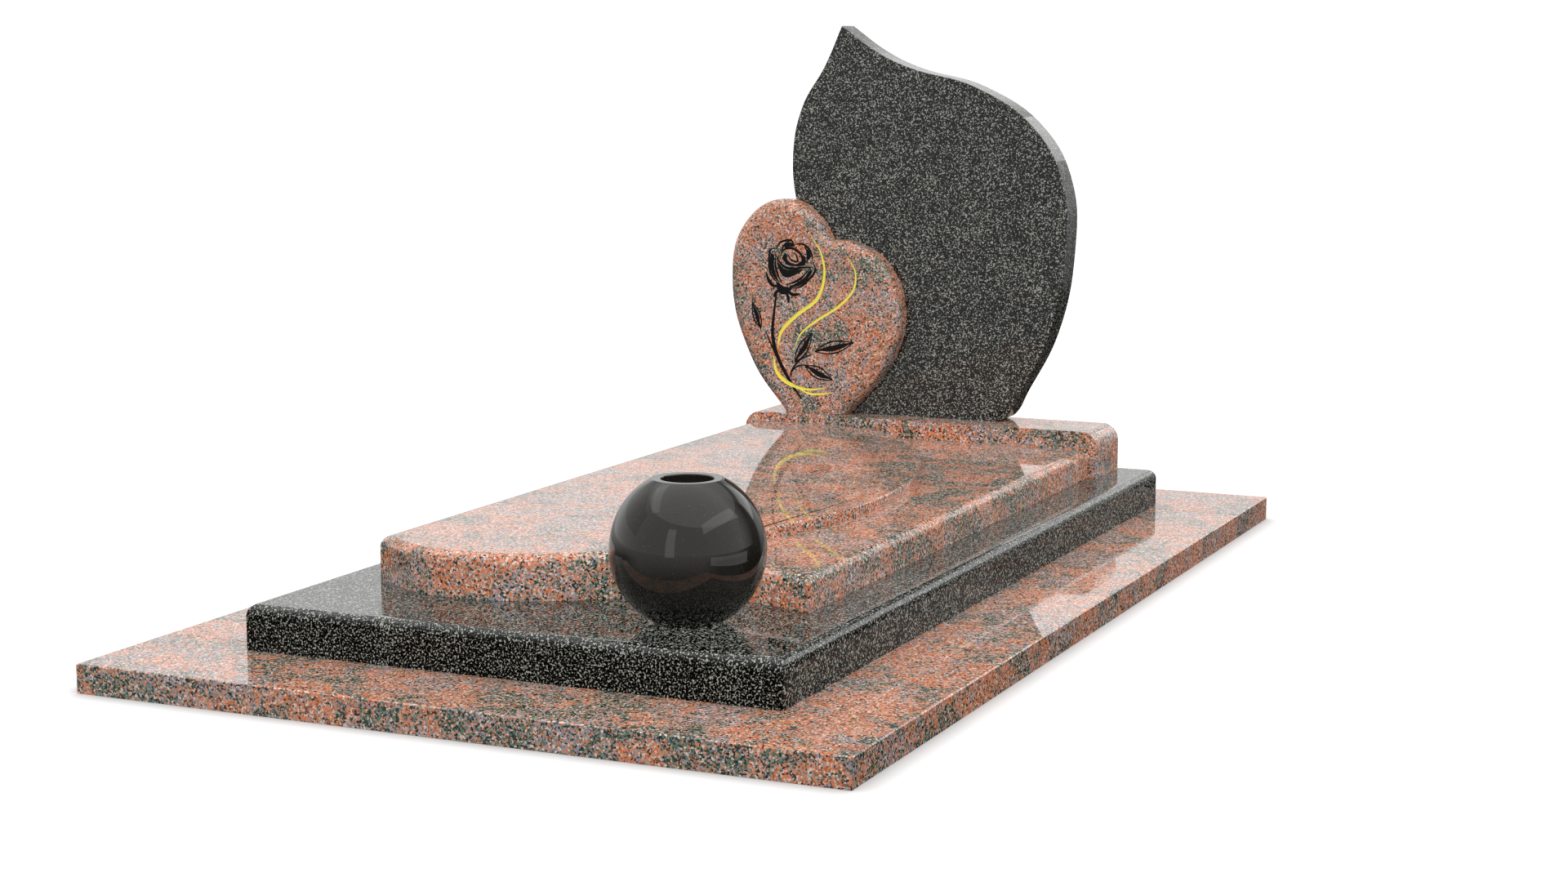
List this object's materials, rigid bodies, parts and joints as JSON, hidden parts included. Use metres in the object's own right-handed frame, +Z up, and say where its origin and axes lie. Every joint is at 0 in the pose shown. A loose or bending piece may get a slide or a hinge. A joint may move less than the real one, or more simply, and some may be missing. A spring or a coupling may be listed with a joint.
{
  "type": "grave monument",
  "caption": "Polished granite grave monument with a flat footing, a plinth, a stepped slab, a leaf-shaped headstone behind a heart, and a ball vase.",
  "frame": {"origin": "centre of the footing's underside, at ground level", "axes": "+X across the grave to the right as seen from its foot, +Y along the grave towards the headstone, +Z up"},
  "size_m": [1.4, 2.4, 1.1009],
  "materials": {
    "pink_granite": "polished",
    "dark_grey_granite": "polished",
    "black_granite": "polished"
  },
  "bodies": {
    "root": {"footing_front": "pink_granite", "footing_back": "pink_granite", "footing_left": "pink_granite", "footing_right": "pink_granite", "plinth": "dark_grey_granite", "slab": "pink_granite", "headstone_base": "pink_granite", "headstone": "dark_grey_granite", "heart": "pink_granite", "vase": "black_granite"}
  },
  "joints": []
}
